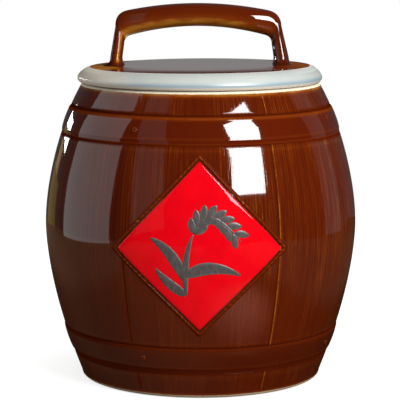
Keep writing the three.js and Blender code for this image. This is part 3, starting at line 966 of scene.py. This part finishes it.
def lid_under():
    """Profile of the lid from its middle underneath, down and up the grooved spigot and out to the rim."""
    plate = LID_TOP - LID_PLATE
    inner = SPIGOT_RADIUS - SPIGOT_WALL
    groove = SPIGOT_RADIUS - SEAL_DEPTH - LUTE
    low = SEAL_BASE - LUTE
    high = SEAL_TOP + LUTE
    corners = [[LID_POLE, plate], [inner, plate], [inner, SPIGOT_BASE], [SPIGOT_RADIUS, SPIGOT_BASE],
               [SPIGOT_RADIUS, low], [groove, low], [groove, high], [SPIGOT_RADIUS, high],
               [SPIGOT_RADIUS, LID_SEAT], [LID_RADIUS - LID_LIP, LID_SEAT]]
    return rounded(corners, SPIGOT_ROUNDS, WALL_STEP)


def lid_profile():
    """Profile of the lid: its underside, a rim of an elliptic and a fuller quarter, and a shallow dome."""
    widest = LID_SEAT + LID_WIDEST
    low = np.linspace(-math.pi / 2, 0, 15)[1:]
    lower = np.column_stack([LID_RADIUS - LID_LIP + LID_LIP * np.cos(low),
                             widest + LID_WIDEST * np.sin(low)])
    high = np.linspace(0, math.pi / 2, 40)[1:]
    power = 2 / LID_BULGE
    edge = LID_TOP + LID_CREST
    upper = np.column_stack([LID_TOP_RADIUS + LID_ROLL * np.clip(np.cos(high), 0, 1) ** power,
                             widest + (edge - widest) * np.sin(high) ** power])
    radius = np.linspace(LID_TOP_RADIUS, LID_POLE, 48)[1:]
    past_flat = np.clip((radius - LID_FLAT) / (LID_TOP_RADIUS - LID_FLAT), 0, 1)
    top = np.column_stack([radius, edge + LID_DOME * (1 - past_flat**LID_DOME_POWER)])
    return np.vstack([lid_under(), lower, upper, top])


def make_lid(finish):
    """Lid: its profile turned, its rim a little to the left and its top leaning a little, as from the kiln.

    The top is brown and the rest pale; the mark for pale crosses one half at the brown edge. At both ends
    of the top the glaze is thin and dull in a crescent. The rim is blue at its widest and cream below it;
    towards the left it is painted cream as painted warm light from that side. By the seat the underside is
    painted near black, a painted shadow in the gap over the pot's rim.
    """
    profile = lid_profile()
    radius, height = profile.T
    rings = turned(profile, ROUND)
    rings[..., 0] -= LID_LEFT * smooth(height, *LID_LEFT_RISE)[:, None]
    lean = LID_LEAN_RIGHT * rings[..., 0] - LID_LEAN_FRONT * rings[..., 1]
    rings[..., 2] += lean * smooth(height, LID_SEAT + LID_WIDEST, LID_TOP)[:, None]
    across = rings[..., 0]
    on_top = height > LID_TOP_LOW
    pale = np.where(on_top, smooth(radius, *PALE_RISE), 1.0)
    sides = smooth(np.abs(np.sin(ROUND)), *CRESCENT_SIDES)
    ends = (on_top * smooth(radius, *CRESCENT_RADII))[:, None] * sides
    edge = TOP_EDGE_THIN * on_top * smooth(radius, *TOP_EDGE_THIN_RISE)
    thin = np.maximum(ends * (1 - CRESCENT_RIGHT * smooth(across, *CRESCENT_RIGHT_RISE)), edge[:, None])
    pool = TOP_EDGE_POOL * on_top * bell(radius - TOP_EDGE_POOL_PLACE, TOP_EDGE_POOL_HALF)
    rim = radius > RIM_INSIDE
    blue = bell(height - LID_SEAT - LID_WIDEST, BLUE_HALF) * rim
    # Cream below the widest, and towards the left painted cream as painted warm light
    cream = np.maximum((fall(height, *CREAM_FALL) * rim)[:, None], smooth(-across, *PAINTED_LIGHT_LEFT_RISE))
    # Painted shadow in the gap between the lid and the pot's rim
    shade = fall(height, *SHADE_FALL) * (radius > SHADE_INSIDE)
    piece("lid_cover", rings, "lid", ["lid"], "celadon_glaze", finish, thin=thin,
          pool=pool[:, None] * (1 - ends), grain=0.0, pale=pale[:, None], blue=blue[:, None], cream=cream,
          shade=shade[:, None], dull=CRESCENT_DULL * ends)


def make_seal(finish):
    """Seal ring: a closed profile with one soft lip, turned."""
    root = SPIGOT_RADIUS - SEAL_DEPTH
    middle = (SEAL_BASE + SEAL_TOP) / 2
    half = SEAL_LIP / 2
    profile = rounded([[root, SEAL_BASE], [SPIGOT_RADIUS, SEAL_BASE], [SEAL_REACH, middle - half],
                       [SEAL_REACH, middle + half], [SPIGOT_RADIUS, SEAL_TOP], [root, SEAL_TOP]],
                      SEAL_ROUNDS, SEAL_STEP, closed=True)
    piece("seal_lips", turned(profile, ROUND), "seal", ["seal_ring"], "silicone", finish, loop=True)


# Handle

def arch(span, flare, lean, height, corner, bow):
    """Half of an arch from its foot to the middle of its bar, as [across, up].

    The foot flares out, the leg leans in, a bend turns into the bar, and the bar bows up by the bow.
    """
    top = span - lean
    bar = top - corner
    eave = height - bow
    hip = eave - corner * 2 * bow / bar
    foot = quadratic([span + flare, 0], [span, 0], [span, GRIP_RISE], 14)
    along = np.array([top - span, hip - corner - GRIP_RISE])
    leg = np.array([span, GRIP_RISE]) + np.linspace(0, 1, 14)[1:, None] * along
    bend = quadratic([top, hip - corner], [top, hip], [bar, eave], 24)
    bar_run = quadratic([bar, eave], [bar / 2, height], [0, height], 34)
    return np.vstack([foot, leg, bend[1:], bar_run[1:]])


def whole(half):
    """Both halves of an arch, from the right foot to the left one."""
    return np.vstack([half, half[::-1][1:] * np.array([-1, 1])])


def grip_arches():
    """Outer and inner arch of the handle, a little to the left, the outer one the more the higher it is."""
    outer = whole(arch(GRIP_HALF_SPAN, GRIP_FLARE_OUT, GRIP_LEAN, GRIP_HEIGHT, GRIP_CORNER, GRIP_BOW))
    inner = whole(arch(GRIP_HALF_SPAN - GRIP_LEG, -GRIP_FLARE, GRIP_INNER_LEAN, GRIP_HEIGHT - GRIP_BAR,
                       GRIP_INNER_CORNER, GRIP_INNER_BOW))
    outer[:, 0] -= GRIP_LEFT + GRIP_SKEW * outer[:, 1] / GRIP_HEIGHT
    inner[:, 0] -= GRIP_INNER_LEFT
    return outer, inner


def grip_marks(out, middle, across, to_foot):
    """Marks on the handle, from 1 outside to -1 inside each section, whose middles are given.

    The glaze is thin under the bar, thick on the legs and at the feet, and dull on the left leg and at a
    break in the right one's gloss. An amber streak down the inner side of the legs, most on the left one,
    is thin glaze and a painted reflection of the window.
    """
    low = smooth(to_foot, *FEET_RISE)[:, None]
    bar = smooth(middle[:, 1:], *BAR_RISE)
    right = smooth(middle[:, :1], *RIGHT_RISE)
    under = sum(share * smooth(-out, start, end) for share, start, end in UNDER_BAR)
    # Amber streak of thin glaze that is also a painted reflection of the window
    leg_streak = LEG_STREAK * (1 - LEG_STREAK_RIGHT * right) * bell(out - LEG_STREAK_PLACE, LEG_STREAK_HALF)
    thin = GRIP_THIN + bar * (1 - UNDER_BAR_RIGHT * right) * under + (1 - bar) * leg_streak
    legs = (1 - bar) * (LEG_POOL + LEG_POOL_RIGHT * right) * (1 - leg_streak)
    pool = TOP_POOL * smooth(out, *TOP_POOL_RISE) + FEET_POOL * low + legs
    left = LEFT_LEG_DULL + LEFT_LEG_DULL_OUT * smooth(out, *LEFT_LEG_OUT_RISE)
    gap = BREAK_DULL * right * bell(middle[:, 1:] - BREAK_HEIGHT, BREAK_HALF)
    dull = left * smooth(-across, *LEFT_LEG_RISE) + gap
    return {"thin": thin * (1 - low), "pool": capped(pool), "dull": capped(dull)}


def make_grip(finish):
    """Handle: sections between its arches, each a superellipse, from the right foot to the left.

    It is deepest in the middle, and its legs spread to the front and back towards their feet.
    """
    outer, inner = grip_arches()
    middle = (outer + inner) / 2
    half = (outer - inner) / 2
    to_foot = np.clip(1 - middle[:, 1] / GRIP_RISE, 0, None)
    up_leg = np.clip(middle[:, 1] / GRIP_SPREAD_TOP, 0, 1)
    spread = GRIP_SPREAD * (GRIP_SPREAD_OUT - up_leg) * smooth(np.abs(middle[:, 0]), *GRIP_SPREAD_RISE)
    taper = 1 - GRIP_TAPER * (middle[:, 0] / GRIP_HALF_SPAN) ** 2
    depth = GRIP_DEPTH / 2 * taper + spread + GRIP_FLARE * to_foot**2
    turn = np.radians(np.arange(0, 360, 4.0))
    power = 2 / GRIP_SQUARE
    out = np.sign(np.cos(turn)) * np.abs(np.cos(turn)) ** power
    back = np.sign(np.sin(turn)) * np.abs(np.sin(turn)) ** power
    across = middle[:, :1] + half[:, :1] * out
    up = middle[:, 1:] + half[:, 1:] * out + GRIP_BASE
    rings = np.stack([across, depth[:, None] * back, up], axis=-1)
    piece("lid_grip", rings, "lid", ["lid_handle"], "brown_glaze", finish, grain=0.0,
          **grip_marks(out, middle, across, to_foot))


# Finishes

class Wire:
    """One output of a shader tree. Arithmetic on wires adds Math nodes, and node adds any other."""

    def __init__(self, tree, socket):
        self.tree = tree
        self.socket = socket

    def node(self, kind, settings=None, sockets=None, out=0):
        """Adds a node of a kind with settings, gives its sockets values or links, and wraps an output."""
        made = self.tree.nodes.new("ShaderNode" + kind)
        for key, value in (settings or {}).items():
            setattr(made, key, value)
        for key, value in (sockets or {}).items():
            socket = made.inputs[key]
            if isinstance(value, Wire):
                self.tree.links.new(value.socket, socket)
            elif socket.type == "RGBA":
                socket.default_value = (*value, 1.0)
            else:
                socket.default_value = value
        return Wire(self.tree, made.outputs[out])

    def math(self, operation, *values):
        """Adds a Math node for an operation on wires or numbers."""
        return self.node("Math", {"operation": operation}, dict(enumerate(values)))

    def __add__(self, other):
        return self.math("ADD", self, other)

    def __sub__(self, other):
        return self.math("SUBTRACT", self, other)

    def __rsub__(self, other):
        return self.math("SUBTRACT", other, self)

    def __mul__(self, other):
        return self.math("MULTIPLY", self, other)

    __radd__ = __add__
    __rmul__ = __mul__


def rise(value, low, high):
    """Smooth rise of a wire from 0 to 1 between two values."""
    return value.node("MapRange", {"interpolation_type": "SMOOTHSTEP"},
                      {"Value": value, "From Min": low, "From Max": high})


def at_most_one(value):
    """Wire that stops at 1."""
    return value.math("MINIMUM", value, 1.0)


def blend(share, first, second):
    """Mix of two colours by a share."""
    return share.node("Mix", {"data_type": "RGBA"}, {0: share, 6: first, 7: second}, out=2)


def stretched(place, scale):
    """Place multiplied by a vector."""
    return place.node("VectorMath", {"operation": "MULTIPLY"}, {0: place, 1: scale})


def noise(place, scale, detail, roughness=0.55):
    """Noise of a scale, from 0 to 1, at a place in metres."""
    return place.node("TexNoise", None,
                      {"Vector": place, "Scale": scale, "Detail": detail, "Roughness": roughness})


def patches(place, scale, detail, low, high, roughness=0.55):
    """Noise of a scale drawn tight: 0 below one of its values and 1 above another."""
    return rise(noise(place, scale, detail, roughness), low, high)


def mark(place, name):
    """Value of a mark that the mesh carries."""
    return place.node("Attribute", {"attribute_type": "GEOMETRY", "attribute_name": name}, out="Fac")


def round_place(place, along):
    """Place put on a cylinder of the belly's radius: direction from the axis, and the height shortened."""
    flat = stretched(place, (1, 1, 0))
    around = place.node("VectorMath", {"operation": "NORMALIZE"}, {0: flat})
    radius = BELLY_RADIUS * MM
    height = stretched(place, (0, 0, along))
    return place.node("VectorMath", {"operation": "MULTIPLY_ADD"}, {0: around, 1: (radius,) * 3, 2: height})


def wood_grain(place):
    """Fine upright lines, from 0 to 1: a noise drawn out along the height, times slow fades and breaks."""
    lines = patches(round_place(place, 0.012), *GRAIN_LINES, 0.6)
    fade = patches(round_place(place, 0.12), *GRAIN_FADE)
    broken = patches(round_place(place, 0.12), *GRAIN_BREAKS)
    return lines * (fade * 0.7 + 0.3) * (broken * 0.6 + 0.4)


def brown_glaze(place):
    """Colour of the brown glaze: amber, gold, then bare clay the thinner it is, near black where it pools
    and where shade is painted.

    Amber and dark lines follow the grain, and the thin places are streaked by a noise drawn out sideways.
    """
    runs = noise(stretched(place, (0.2, 0.3, 1.0)), 240.0, 3.0)
    thin = mark(place, "thin") * (runs * 0.9 + 0.5)
    grain = mark(place, "grain")
    body = blend(patches(place, *BODY_CLOUD) * RED_SHARE, BROWN, RED_BROWN)
    speckle = patches(place, *SPECKLE)
    amber = thin * AMBER_THIN + grain * wood_grain(place) * AMBER_GRAIN + speckle * AMBER_SPECKLE
    shown = blend(at_most_one(amber), body, AMBER)
    golden = blend(rise(amber, *GOLD_RISE), shown, GOLD)
    bare = blend(rise(amber, *CLAY_RISE), golden, CLAY)
    furrow = grain * patches(round_place(place, 0.01), *FURROWS)
    # The pool mark brings both pooled glaze and painted shade to near black
    dark = mark(place, "pool") * DARK_POOL_AND_SHADE + furrow * DARK_FURROW
    return blend(at_most_one(dark), bare, POOLED_AND_SHADE)


def celadon_glaze(place, blue=None):
    """Colour of the pale glaze: milky green-grey, bluer where it runs thick."""
    cloud = patches(place, *CELADON_CLOUD)
    thick = cloud * 0.3 if blue is None else cloud * 0.15 + blue * 0.8
    return blend(thick, CELADON, CELADON_BLUE)


def bare_clay(place):
    """Colour of the unglazed clay: cream on the lip and tan on the foot, with darker grit."""
    height = place.node("SeparateXYZ", None, {0: place}, out=2)
    tan = 1 - rise(height, *TAN_FALL)
    grit = patches(place, *GRIT)
    return blend(at_most_one(grit * 0.4 + tan * 0.85), CLAY, CLAY_DARK)


def bumped(place, height, distance, **under):
    """Normal bent by a height over a distance in metres, over another normal where one is given."""
    return place.node("Bump", None, {"Strength": 1.0, "Distance": distance, "Height": height, **under})


def glaze_waves(place, grain=None):
    """Normal of a glaze that lies in slow waves, with the grain's fine ridges where there are any."""
    normal = bumped(place, noise(place, 42.0, 2.0), WAVE_HEIGHT)
    if grain is None:
        return normal
    return bumped(place, wood_grain(place) * grain, RIDGE_HEIGHT, Normal=normal)


def material(name, paint, **constants):
    """Material whose shader has constant sockets, and those that paint gives for a place on the piece.

    Where paint gives a share of dull, a second shader of the same colour without gloss is mixed in by it.
    """
    made = bpy.data.materials.new(name)
    made.use_nodes = True
    tree = made.node_tree
    shader = tree.nodes["Principled BSDF"]
    for key, value in constants.items():
        shader.inputs[key.replace("_", " ")].default_value = value
    place = Wire(tree, tree.nodes.new("ShaderNodeTexCoord").outputs["Object"])
    painted = paint(place)
    dull = painted.pop("dull", None)
    for key, wire in painted.items():
        tree.links.new(wire.socket, shader.inputs[key])
    if dull is not None:
        plain = place.node("BsdfPrincipled", None, {"Base Color": painted["Base Color"], "Roughness": 1.0,
                                                    "Specular IOR Level": 0.0})
        mixed = place.node("MixShader", None, {0: dull, 1: Wire(tree, shader.outputs[0]), 2: plain})
        tree.links.new(mixed.socket, tree.nodes["Material Output"].inputs["Surface"])
    return made


def paint_brown(place):
    """Brown glaze all over, without gloss where it is dull."""
    return {"Base Color": brown_glaze(place), "Normal": glaze_waves(place), "dull": mark(place, "dull")}


def paint_pot(place):
    """Brown glaze outside, pale glaze inside, and bare clay with a ragged edge on the lip and the foot."""
    ragged = mark(place, "clay") + (noise(place, 260.0, 3.0) - 0.5) * 0.5
    clay = rise(ragged, *HALF_WAY)
    glazed = blend(mark(place, "pale"), brown_glaze(place), celadon_glaze(place))
    return {
        "Base Color": blend(clay, glazed, bare_clay(place)),
        "Normal": glaze_waves(place, mark(place, "grain")),
        "dull": clay.math("MAXIMUM", clay, mark(place, "dull")),
    }


def paint_lid(place):
    """Brown glaze on the top, run a little into the pale glaze of the rim, with a white line between, and a
    painted shadow by the seat.
    """
    share = mark(place, "pale") + (noise(place, 55.0, 3.0) - 0.5) * 0.4
    pale = rise(share, *HALF_WAY)
    line = pale * (1 - rise(share, *WHITE_LINE_FALL))
    milky = blend(mark(place, "cream"), celadon_glaze(place, mark(place, "blue")), CELADON_CREAM)
    # A white line is painted along the edge of the brown
    rim = blend(line * 0.9, milky, BROWN_EDGE_WHITE)
    return {
        # The shade mark paints a painted shadow, near black, by the seat
        "Base Color": blend(mark(place, "shade") * 0.9, blend(pale, brown_glaze(place), rim), POOLED_AND_SHADE),
        "Roughness": pale * 0.3 + GLOSS,
        "Normal": glaze_waves(place),
        "dull": mark(place, "dull"),
    }


def paint_red(place):
    """Red enamel, a little deeper in clouds and along the rim."""
    deep = patches(place, *RED_CLOUD) * 0.35 + mark(place, "rim") * 0.25
    return {"Base Color": blend(deep, RED, RED_DEEP), "Normal": glaze_waves(place)}


def paint_grey(place):
    """Grey brush enamel, paler in streaks and along the edges of a stroke."""
    streak = patches(stretched(place, (1, 1, 0.5)), *GREY_STREAKS)
    pale = streak * 0.45 + rise(mark(place, "rim"), 0.55, 0.95) * 0.6
    return {"Base Color": blend(at_most_one(pale), GREY, GREY_PALE), "Normal": glaze_waves(place)}


def paint_silicone(place):
    """Milky silicone with a faint matt mottle."""
    cloud = patches(place, *SILICONE_CLOUD)
    return {"Base Color": blend(cloud * 0.25, SILICONE, CLAY), "Roughness": cloud * 0.1 + 0.45}


def paint_floor(place):
    """Pale paper: white to the camera but where the jar keeps light off it, dim where the glaze mirrors it.

    What the glaze mirrors is painted lighter far to the left, as painted light from the left box, dark in a
    strip on the right, and painted with a painted pool of light round one place.
    """
    camera = place.node("LightPath", out="Is Camera Ray")
    glossy = place.node("LightPath", out="Is Glossy Ray")
    across = place.node("SeparateXYZ", None, {0: place}, out=0)
    beside = across.math("ABSOLUTE", across - FLOOR_DARK_PLACE)
    # Painted light far to the left, and a painted pool of light further on
    plain = blend(rise(across, *FLOOR_LEFT_LIT_END), FLOOR_LEFT_LIT, FLOOR_DIM)
    dim = blend(rise(beside, *FLOOR_DARK_REACH), FLOOR_DARK, plain)
    from_lit = place.node("VectorMath", {"operation": "DISTANCE"}, {0: place, 1: FLOOR_LIT_PLACE},
                          out="Value")
    mirrored = blend(rise(from_lit, *FLOOR_LIT_REACH), FLOOR_LIT, dim)
    near = place.node("AmbientOcclusion", {"samples": SHADOW_SAMPLES}, {"Distance": SHADOW_REACH}, out="AO")
    shown = camera * (near * SHADOW + (1 - SHADOW))
    return {"Base Color": blend(glossy, FLOOR_PALE, mirrored), "Emission Color": blend(shown, BLACK, WHITE)}


# Stage

def panel(name, azimuth, distance, half_angle, low, high, radiance, colour=WHITE, turned_in=0.0, roll=0.0):
    """Upright light that faces the jar's axis from an azimuth, measured from the front towards +X.

    Half its width is the distance times the tangent of the half angle; its power is radiance x pi x area.
    Turned in, its right end comes nearer by that angle; rolled, its top goes to the right by that angle.
    """
    light = bpy.data.lights.new(name, "AREA")
    light.shape = "RECTANGLE"
    light.size = 2 * distance * math.tan(math.radians(half_angle))
    light.size_y = high - low
    light.energy = radiance * math.pi * light.size * light.size_y
    light.color = colour
    lamp = placed(name, light)
    turn = math.radians(azimuth)
    lamp.location = (distance * math.sin(turn), -distance * math.cos(turn), (low + high) / 2)
    lamp.rotation_euler = (math.pi / 2, math.radians(roll), turn + math.radians(turned_in))
    lamp.visible_camera = False


def make_lights():
    """A bright window of two panes to the right of the front, a large dim box, a dim wall and a bright
    strip on the left, and coloured cards behind on both sides."""
    panel("window_low", azimuth=35.0, distance=1.55, half_angle=14.3, low=0.5, high=1.1, radiance=WINDOW,
          turned_in=28.0, roll=8.0)
    panel("window_high", azimuth=34.3, distance=1.55, half_angle=14.0, low=1.0, high=1.6, radiance=WINDOW,
          turned_in=18.0, roll=-8.0)
    panel("left_box", azimuth=-87.7, distance=0.739, half_angle=23.9, low=0.002, high=1.0, radiance=0.72)
    panel("left_wall", azimuth=-42.6, distance=1.2, half_angle=12.0, low=0.1, high=2.0, radiance=0.17,
          roll=-9.0)
    panel("left_strip", azimuth=-136.1, distance=1.104, half_angle=5.9, low=0.276, high=0.385,
          radiance=12.0)
    panel("left_card", azimuth=-138.7, distance=1.0, half_angle=9.9, low=0.002, high=0.17, radiance=0.2,
          colour=STRAW)
    panel("left_glow", azimuth=-140.4, distance=1.0, half_angle=4.3, low=0.17, high=0.25, radiance=0.5,
          colour=EMBER)
    panel("right_card", azimuth=107.4, distance=0.97, half_angle=10.6, low=0.002, high=1.0, radiance=0.17,
          colour=BLUSH)


def make_world():
    """White to the camera; to the glaze a grey backdrop behind the jar in a dark room; else faint fill."""
    world = bpy.data.worlds.new("studio")
    world.use_nodes = True
    tree = world.node_tree
    place = Wire(tree, tree.nodes.new("ShaderNodeTexCoord").outputs["Generated"])
    camera = place.node("LightPath", out="Is Camera Ray")
    glossy = place.node("LightPath", out="Is Glossy Ray")
    clear = place.node("LightPath", out="Is Transmission Ray")
    behind = place.node("SeparateXYZ", None, {0: place}, out=1)
    mirrored = rise(behind, *HALO_RISE) * HALO + rise(behind, *BACKDROP_RISE) * BACKDROP + ROOM
    seen = glossy * mirrored + (1 - glossy) * FILL
    white = camera.math("MAXIMUM", camera, clear)
    strength = white + (1 - white) * seen
    shade = tree.nodes["Background"]
    tree.links.new(strength.socket, shade.inputs["Strength"])
    shade.inputs["Color"].default_value = (*WHITE, 1.0)
    bpy.context.scene.world = world


def make_floor():
    """Square floor just under the foot."""
    mesh = bpy.data.meshes.new("floor")
    corners = [(-1, -1), (1, -1), (1, 1), (-1, 1)]
    places = [(x * FLOOR_HALF, y * FLOOR_HALF, FLOOR_DROP) for x, y in corners]
    mesh.from_pydata(places, [], [(0, 1, 2, 3)])
    mesh.materials.append(material("floor_paper", paint_floor, Roughness=1.0, Specular_IOR_Level=0.0,
                                   Emission_Strength=1.0))
    floor = placed("floor", mesh)


def make_camera():
    """Camera in front of the jar, a little above it and pitched down."""
    camera = bpy.data.cameras.new("camera")
    camera.sensor_width = SENSOR
    camera.lens = FOCAL_PIXELS / FRAME_PIXELS * SENSOR
    camera.shift_x = -CAMERA_OFF_CENTRE / FRAME_PIXELS
    made = placed("camera", camera)
    made.location = CAMERA_PLACE
    made.rotation_euler = (math.radians(90 - CAMERA_PITCH), 0, 0)
    bpy.context.scene.camera = made


def make_jar():
    """All pieces of the jar and its lid, each with its finish."""
    brown = material("brown_glaze", paint_brown, Roughness=GLOSS, IOR=GLAZE_INDEX)
    make_pot(material("pot_glaze", paint_pot, Roughness=GLOSS, IOR=GLAZE_INDEX))
    make_band("shoulder_band", UPPER_BAND, "upper_hoop", brown, thin_edge=0.65, dull_bevel=0.2, thick=0.0)
    # The foot band is painted darker all over, as painted shade low on the jar
    make_band("foot_band", LOWER_BAND, "lower_hoop", brown, thin_edge=0.2, dull_bevel=0.9, thick=0.26)
    for band, hoop in (("shoulder", "upper_hoop"), ("foot", "lower_hoop")):
        for i in range(1, 5):
            make_nail(f"{band}_nail_{i}", f"{hoop}_nail_{i}", brown)
    make_pad(material("red_enamel", paint_red, Roughness=0.05, IOR=1.42))
    make_frame(brown)
    make_ear(material("grey_enamel", paint_grey, Roughness=0.25, IOR=1.5))
    make_lid(material("lid_glaze", paint_lid, IOR=GLAZE_INDEX))
    make_grip(brown)
    make_seal(material("silicone", paint_silicone))


make_camera()
make_lights()
make_world()
make_floor()
make_jar()
bpy.context.scene.view_settings.view_transform = "Standard"
